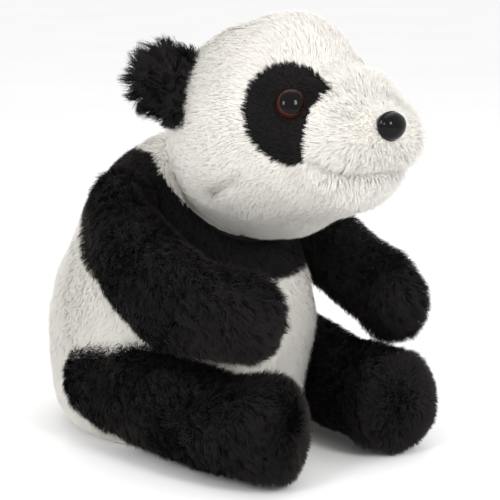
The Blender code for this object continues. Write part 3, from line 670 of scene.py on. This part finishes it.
def build_head():
    def held(p):
        h = world_to_head(p)
        seam = np.minimum(np.abs(h[:, 1] - MUZZLE_START) / 0.003, np.abs(patch_reading(h) - 1) / 0.08)
        return np.where(seam < 1, 0.9, 0.25)

    verts, tris = stuffed("head_form", head_shape(), held, 0.0015, 1)
    normals = normals_of(verts, tris)
    h = world_to_head(verts)
    depth = np.where(h[:, 1] < MUZZLE_START, MUZZLE_DEPTH, PANEL_DEPTH)
    lumps = wander(verts, 0.035, 3)[:, 0] * 0.0005
    ridge = 0.0009 * np.exp(-((np.abs(h[:, 0]) - GUSSET_HALF) / 0.0016) ** 2) * (h[:, 2] > 0.01)
    dart = np.exp(-((h[:, 2] + 0.0275 + 0.59 * (h[:, 1] + 0.0065)) / 0.0034) ** 2)
    dart *= smoothstep(0.017, 0.008, np.abs(h[:, 1] + 0.0065)) * (np.abs(h[:, 0]) > 0.03)
    lip = lip_reading(h)
    off_nose = smoothstep(0.010, 0.024, np.linalg.norm(h - head_point(NOSE_AIM), axis=1))
    bridge = smoothstep(-0.055, -0.068, h[:, 1]) * smoothstep(0.010, 0.024, h[:, 2])
    chin = smoothstep(-0.060, -0.078, h[:, 1]) * smoothstep(-0.004, -0.022, h[:, 2])
    depth += off_nose * (BRIDGE_HOLLOW * bridge + CHIN_HOLLOW * chin)
    depth += dart * CHEEK_FOLD + lip * LIP_CREASE
    verts = verts - normals * (depth - lumps - ridge)[:, None]
    normals = normals_of(verts, tris)
    centre = world_to_head(verts[tris].mean(1))
    label = head_label(centre)
    nose = head_point(NOSE_AIM)
    eyes = [head_point(mirrored(EYE_AIM, side)) for side in (-1, 1)]

    def groom(p):
        h = world_to_head(p)
        away = unit(h - (nose + np.array((0, 0.012, -0.004))))
        drift = wander(p, 0.05, 8) * 0.35
        down = np.zeros_like(h)
        down[:, 2] = -0.35 * smoothstep(-0.04, 0.02, h[:, 1])
        down[:, 2] -= 0.8 * smoothstep(-0.054, -0.064, h[:, 1]) * smoothstep(0.004, -0.006, h[:, 2])
        return turn_to_world(away + down) + drift

    def length(p):
        h = world_to_head(p)
        value = np.where(patch_reading(h) < 1, 0.0042, 0.0050)
        muzzle = smoothstep(MUZZLE_START + 0.002, MUZZLE_START - 0.006, h[:, 1])
        side = smoothstep(0.030, 0.014, h[:, 2]) * smoothstep(-0.030, -0.020, h[:, 2])
        value += muzzle * (0.0010 + 0.0014 * side)
        above_lip = smoothstep(-0.014, -0.008, h[:, 2]) * smoothstep(0.008, -0.002, h[:, 2])
        value += 0.0028 * above_lip * smoothstep(-0.054, -0.064, h[:, 1])
        value *= 1 - 0.35 * lip_reading(h)
        value *= 0.45 + 0.55 * smoothstep(0.012, 0.026, np.linalg.norm(h - nose, axis=1))
        for eye in eyes:
            value *= 0.55 + 0.45 * smoothstep(0.009, 0.018, np.linalg.norm(h - eye, axis=1))
        return value

    def lean(p):
        h = world_to_head(p)
        return 0.88 - 0.16 * smoothstep(MUZZLE_START + 0.002, MUZZLE_START - 0.006, h[:, 1])

    def keep(p):
        h = world_to_head(p)
        clear = np.linalg.norm(h - nose, axis=1) > 0.0085
        for eye in eyes:
            clear &= np.linalg.norm(h - eye, axis=1) > 0.0078
        return clear

    for node, density, kind in (
            ("muzzle_panel", 4.0, MUZZLE_PILE), ("head_gusset", 3.4, FINE),
            ("head_side_right", 3.6, FINE), ("head_side_left", 3.6, FINE),
            ("eye_patch_right", 4.0, PATCH_PILE), ("eye_patch_left", 4.0, PATCH_PILE)):
        chosen = np.flatnonzero(label == node)
        furnish(node, verts, tris, normals, chosen, groom, length, lean, density, kind, keep,
                also=("head_stuffing",) if node == "head_gusset" else ())


# --- torso ------------------------------------------------------------------------------------------
def torso_label(p):
    """Which panel each point of the torso belongs to."""
    angle = round_from_chest(p)
    label = np.full(len(p), "body_panel", object)
    yoke = p[:, 2] > yoke_edge(angle)
    chest = (np.abs(p[:, 0]) < CHEST_HALF) & (p[:, 1] < CHEST_BACK)
    label[yoke] = "yoke_back_panel"
    label[yoke & chest] = "yoke_chest_panel"
    label[p[:, 2] > nape_edge(angle)] = "nape_panel"
    label[p[:, 2] < 0.0035] = "seat_panel"
    return label


def build_torso():
    def held(p):
        angle = round_from_chest(p)
        seam = np.minimum(np.abs(p[:, 2] - yoke_edge(angle)) / 0.005,
                          np.abs(p[:, 2] - nape_edge(angle)) / 0.005)
        seam = np.minimum(seam, np.abs(p[:, 1]) / 0.004 + (p[:, 1] < 0) * 9)
        return np.where(p[:, 2] < 0.008, 1.0, np.where(seam < 1, 0.85, 0.2))

    verts, tris = stuffed("torso_form", torso_shape(), held, 0.0022, 2)
    normals = normals_of(verts, tris)
    lumps = wander(verts, 0.045, 13)[:, 0] * 0.0008 + wander(verts, 0.02, 14)[:, 0] * 0.0003
    depth = np.where(verts[:, 2] < 0.002, SEAT_DEPTH, PANEL_DEPTH)
    verts = verts - normals * (depth - lumps * (verts[:, 2] > 0.01))[:, None]
    away = verts - HEAD_CENTRE
    far = np.linalg.norm(away, axis=1, keepdims=True)
    verts = HEAD_CENTRE + away * np.maximum(1.0, NECK_ROOM / far)
    normals = normals_of(verts, tris)
    label = torso_label(verts[tris].mean(1))

    def groom(p):
        down = np.zeros_like(p)
        down[:, 2] = -1.0
        down += unit(p * (1, 1, 0)) * 0.2
        return down + wander(p, 0.06, 21) * 0.35

    def length(p):
        value = np.full(len(p), 0.0056)
        value[p[:, 2] < 0.004] = 0.0015
        return value * (0.6 + 0.4 * smoothstep(0.0, 0.014, p[:, 2]))

    def keep(p):
        return np.linalg.norm(p - HEAD_CENTRE, axis=1) > NECK_ROOM + 0.0004

    for node, density, kind in (
            ("body_panel", 2.6, FINE), ("seat_panel", 0.8, FINE),
            ("yoke_chest_panel", 3.0, YOKE_PILE), ("yoke_back_panel", 3.0, YOKE_PILE),
            ("nape_panel", 3.4, FINE)):
        chosen = np.flatnonzero(label == node)
        furnish(node, verts, tris, normals, chosen, groom, length, constant(0.84), density, kind, keep,
                also=("torso_stuffing",) if node == "body_panel" else ())


# --- limbs ------------------------------------------------------------------------------------------
def build_limb(node):
    stations = LIMBS[node]
    leg = node.startswith("leg")
    bulge = FOOT_BULGE if leg else PAW_BULGE
    middle, along, _, _ = limb_axis(stations, len(stations) - 1)
    seam_at = middle - along * SOLE_BEHIND_TIP
    path = np.array([spline(stations, t)[:3] for t in np.linspace(0, len(stations) - 1, 33)])
    way = unit(np.gradient(path, axis=0))

    def held(p):
        seam = np.abs((p - seam_at) @ along) / 0.004 if leg else np.full(len(p), 9.0)
        return np.where(seam < 1, 0.9, 0.2)

    verts, tris = stuffed(node + "_form", limb_shape(stations, bulge), held, 0.0020, 2)
    normals = normals_of(verts, tris)
    groove = np.exp(-(((verts - seam_at) @ along) / 0.0018) ** 2) * 0.0016 if leg else 0.0
    lumps = wander(verts, 0.04, 31)[:, 0] * 0.0009 + wander(verts, 0.018, 32)[:, 0] * 0.0003
    verts = verts - normals * (LIMB_DEPTH - lumps + groove)[:, None]
    normals = normals_of(verts, tris)
    centre = verts[tris].mean(1)
    sole = (centre - seam_at) @ along > 0 if leg else np.zeros(len(centre), bool)

    def nearest(p):
        return np.argmin(((p[:, None, :] - path[None]) ** 2).sum(2), axis=1)

    def groom(p):
        ahead = way[nearest(p)]
        down = np.zeros_like(p)
        down[:, 2] = -0.55
        out = unit(p - path[nearest(p)]) * 0.1
        return ahead + down + out + wander(p, 0.05, 41) * 0.35

    def length(p):
        reach = (p - seam_at) @ along
        value = 0.0068 + 0.0022 * smoothstep(-0.03, 0.0, reach)
        return value * (0.45 + 0.55 * smoothstep(0.004, 0.012, p[:, 2]))

    def sole_groom(p):
        return unit(p - (seam_at + along * 0.012)) + np.array((0, 0, -0.5)) + wander(p, 0.03, 43) * 0.4

    stuffing = node.replace("_", "_stuffing_")
    furnish(node, verts, tris, normals, np.flatnonzero(~sole), groom, length, constant(0.72), 2.5,
            LIMB_PILE, also=(stuffing,))
    if leg:
        furnish(node.replace("leg", "sole"), verts, tris, normals, np.flatnonzero(sole), sole_groom,
                constant(0.0054), constant(0.6), 3.0, SOLE_PILE)


def build_ear(side):
    label = "right" if side < 0 else "left"
    middle, edge, outward, through = ear_frame(side)

    def held(p):
        return np.where((p - middle) @ outward < 0.004, 1.0, 0.2)

    verts, tris = stuffed("ear_form_" + label, ear_shape(side), held, 0.0012, 0)
    normals = normals_of(verts, tris)
    centre = (verts[tris].mean(1) - middle) @ through
    front = centre * side > 0

    def groom(p):
        d = p - middle
        fan = outward + edge * (d @ edge / EAR_HALF_LENGTH)[:, None] * 0.9
        return fan + wander(p, 0.02, 51) * 0.5

    def length(p):
        reach = (p - middle) @ outward
        return 0.0078 + 0.0062 * smoothstep(0.006, 0.024, reach)

    for name, half in (("ear_front_", front), ("ear_back_", ~front)):
        furnish(name + label, verts - normals * EAR_DEPTH, tris, normals, np.flatnonzero(half), groom,
                length, constant(0.50), 4.5, EAR_PILE)


# --- plastic eyes and nose --------------------------------------------------------------------------
def gloss(name, colour, roughness=0.05):
    """Plastic whose colour has no shine of its own, under a clear coat."""
    made, tree, shader = node_material(name)
    _, ramp = noise_ramp(tree, 700, 3, [c * 0.7 for c in colour], [c * 1.25 for c in colour])
    tree.links.new(ramp.outputs["Color"], shader.inputs["Base Color"])
    shader.inputs["Roughness"].default_value = roughness
    shader.inputs["Specular IOR Level"].default_value = 0.0
    shader.inputs["Coat Weight"].default_value = 1.0
    shader.inputs["Coat Roughness"].default_value = 0.04
    shader.inputs["Coat IOR"].default_value = 1.23
    return made


def button_outline(half, rim, crown, base, rise, first):
    """Half width, half height and height of each ring of a button, from its back to its top.

    rim gives the share of the half sizes and the height of each ring of the rim. The crown is
    domed: it starts first degrees up, spans the share crown and rises by rise above base.
    """
    outline = [(half[0] * share, half[1] * share, height) for share, height in rim]
    for angle in range(first, 90, 8):
        a = math.radians(angle)
        span = math.cos(a)
        outline.append((half[0] * crown * span, half[1] * crown * span, base + rise * math.sin(a)))
    return outline


def dome(name, aim, outline, lift, materials, slots, taper=0.0):
    """A plastic button on the head. slots gives the material between each ring and the next."""
    x, y, z = (turn_to_world(v) for v in axes_towards(aim))
    origin = head_to_world(head_point(aim)) + z * lift
    rings = []
    for wide, high, rise in outline:
        ring = []
        for a in circle(BUTTON_COLUMNS):
            pinch = 1 + taper * math.sin(a)
            ring.append(origin + x * wide * math.cos(a) * pinch + y * high * math.sin(a) + z * rise)
        rings.append(ring)
    verts, faces = loft(rings, origin + z * outline[0][2], origin + z * outline[-1][2])
    made = mesh_object(name, verts, faces)
    outward_faces(made)
    for material in materials:
        made.data.materials.append(material)
    index = np.repeat([*slots, slots[0], slots[-1]], BUTTON_COLUMNS)
    made.data.polygons.foreach_set("material_index", index)
    made.data.polygons.foreach_set("use_smooth", np.ones(len(made.data.polygons), bool))
    return made


def build_face():
    brown = gloss("iris_brown", (0.036, 0.008, 0.004))
    black = gloss("pupil_black", (0.003, 0.0025, 0.0025))
    rim = ((0.80, -0.004), (0.97, -0.001), (1.0, 0.0004), (0.975, 0.0012))
    outline = button_outline((EYE_RADIUS, EYE_RADIUS), rim, 0.97, 0.0012, 0.0046, 10)
    slots = [int(wide <= EYE_RADIUS * 0.74) for wide, _, _ in outline[1:]]
    for side, label in ((-1, "right"), (1, "left")):
        eye = dome("eye_button_" + label, mirrored(EYE_AIM, side), outline, EYE_SEAT, (brown, black),
                   slots)
        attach(eye, "head")
        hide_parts("eye_" + label)
    nose_black = gloss("nose_black", (0.003, 0.003, 0.0035), 0.09)
    rim = ((0.8, -0.004), (0.98, -0.0005), (1.0, 0.0006), (0.97, 0.0014), (0.93, 0.0013))
    outline = button_outline(NOSE_HALF, rim, 0.93, 0.0013, 0.0058, 8)
    nose = dome("nose_button", NOSE_AIM, outline, NOSE_SEAT, (nose_black,), [0] * (len(outline) - 1),
                NOSE_TAPER)
    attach(nose, "head")
    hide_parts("nose")


def dress_inner_nodes():
    """Plain materials with some grain for the pieces that stay inside the fabric."""
    looks = {
        "neck_stuffing": ((0.70, 0.70, 0.68), (0.86, 0.86, 0.84), 160, 0.95),
        "pellet_pouch": ((0.50, 0.47, 0.41), (0.66, 0.63, 0.56), 900, 0.9),
    }
    for washer in ("eye_washer_right", "eye_washer_left", "nose_washer"):
        looks[washer] = ((0.62, 0.63, 0.61), (0.78, 0.79, 0.77), 300, 0.35)
    for node, (low, high, scale, roughness) in looks.items():
        made, tree, shader = node_material(node + "_look")
        _, ramp = noise_ramp(tree, scale, 4, low, high)
        tree.links.new(ramp.outputs["Color"], shader.inputs["Base Color"])
        shader.inputs["Roughness"].default_value = roughness
        owner = frame["nodes"][node]
        owner.data.materials.clear()
        owner.data.materials.append(made)


# --- stage ------------------------------------------------------------------------------------------
CAMERA_TURN = -46.0         # degrees round from the panda's front, towards its right
CAMERA_RISE = 11.5          # degrees up
CAMERA_DISTANCE = 1.0
LENS = 122.04               # mm, on a sensor 36 mm wide
SEAT_ASIDE = -0.03894       # where the seat's middle lies across the view, sideways and upwards,
SEAT_UP = -0.09912          # for each metre ahead of the camera
LAMPS_AIM = Vector((0, -0.02, 0.12))


def build_stage():
    azimuth, elevation = math.radians(CAMERA_TURN), math.radians(CAMERA_RISE)
    back = Vector((math.sin(azimuth) * math.cos(elevation), -math.cos(azimuth) * math.cos(elevation),
                   math.sin(elevation)))
    right = (-back).cross(Vector((0, 0, 1))).normalized()
    up = right.cross(-back)
    ray = -back + right * SEAT_ASIDE + up * SEAT_UP
    camera = bpy.data.cameras.new("camera")
    camera.sensor_width = 36.0
    camera.lens = LENS
    camera.clip_end = 50
    holder = bpy.data.objects.new("camera", camera)
    bpy.context.scene.collection.objects.link(holder)
    holder.location = -ray * CAMERA_DISTANCE
    holder.rotation_mode = "QUATERNION"
    holder.rotation_quaternion = (-back).to_track_quat("-Z", "Y")
    bpy.context.scene.camera = holder

    floor = mesh_object("floor", [(-6, -6, 0), (6, -6, 0), (6, 6, 0), (-6, 6, 0)], [(0, 1, 2, 3)])
    pale, tree, shader = node_material("floor_pale")
    _, ramp = noise_ramp(tree, 3, 2, (0.93, 0.93, 0.93), (0.95, 0.95, 0.95))
    tree.links.new(ramp.outputs["Color"], shader.inputs["Base Color"])
    shader.inputs["Roughness"].default_value = 0.9
    shader.inputs["Specular IOR Level"].default_value = 0.1
    floor.data.materials.append(pale)

    world = bpy.data.worlds.new("studio")
    world.use_nodes = True
    world.node_tree.nodes["Background"].inputs["Color"].default_value = (1.0, 1.0, 1.0, 1)
    world.node_tree.nodes["Background"].inputs["Strength"].default_value = 1.0
    bpy.context.scene.world = world
    bpy.context.scene.view_settings.view_transform = "Standard"

    def softbox(name, place, size, power):
        lamp = bpy.data.lights.new(name, "AREA")
        lamp.shape = "RECTANGLE"
        lamp.size, lamp.size_y = size
        lamp.energy = power
        holder = bpy.data.objects.new(name, lamp)
        bpy.context.scene.collection.objects.link(holder)
        holder.location = place
        holder.rotation_mode = "QUATERNION"
        holder.rotation_quaternion = (LAMPS_AIM - Vector(place)).to_track_quat("-Z", "Y")

    def around(turn, rise, away):
        """A place turn degrees round from the camera and rise degrees up."""
        a = math.radians(CAMERA_TURN + turn)
        e = math.radians(rise)
        return (math.sin(a) * math.cos(e) * away, -math.cos(a) * math.cos(e) * away, math.sin(e) * away)

    softbox("key", around(34, 32, 1.2), (0.24, 0.34), 5.5)
    softbox("fill", around(-30, 30, 1.25), (0.24, 0.34), 4.5)
    softbox("top", around(170, 75, 1.2), (0.9, 0.9), 2.5)


build_stage()
build_head()
build_torso()
for limb in LIMBS:
    build_limb(limb)
for ear_side in (-1, 1):
    build_ear(ear_side)
build_face()
dress_inner_nodes()
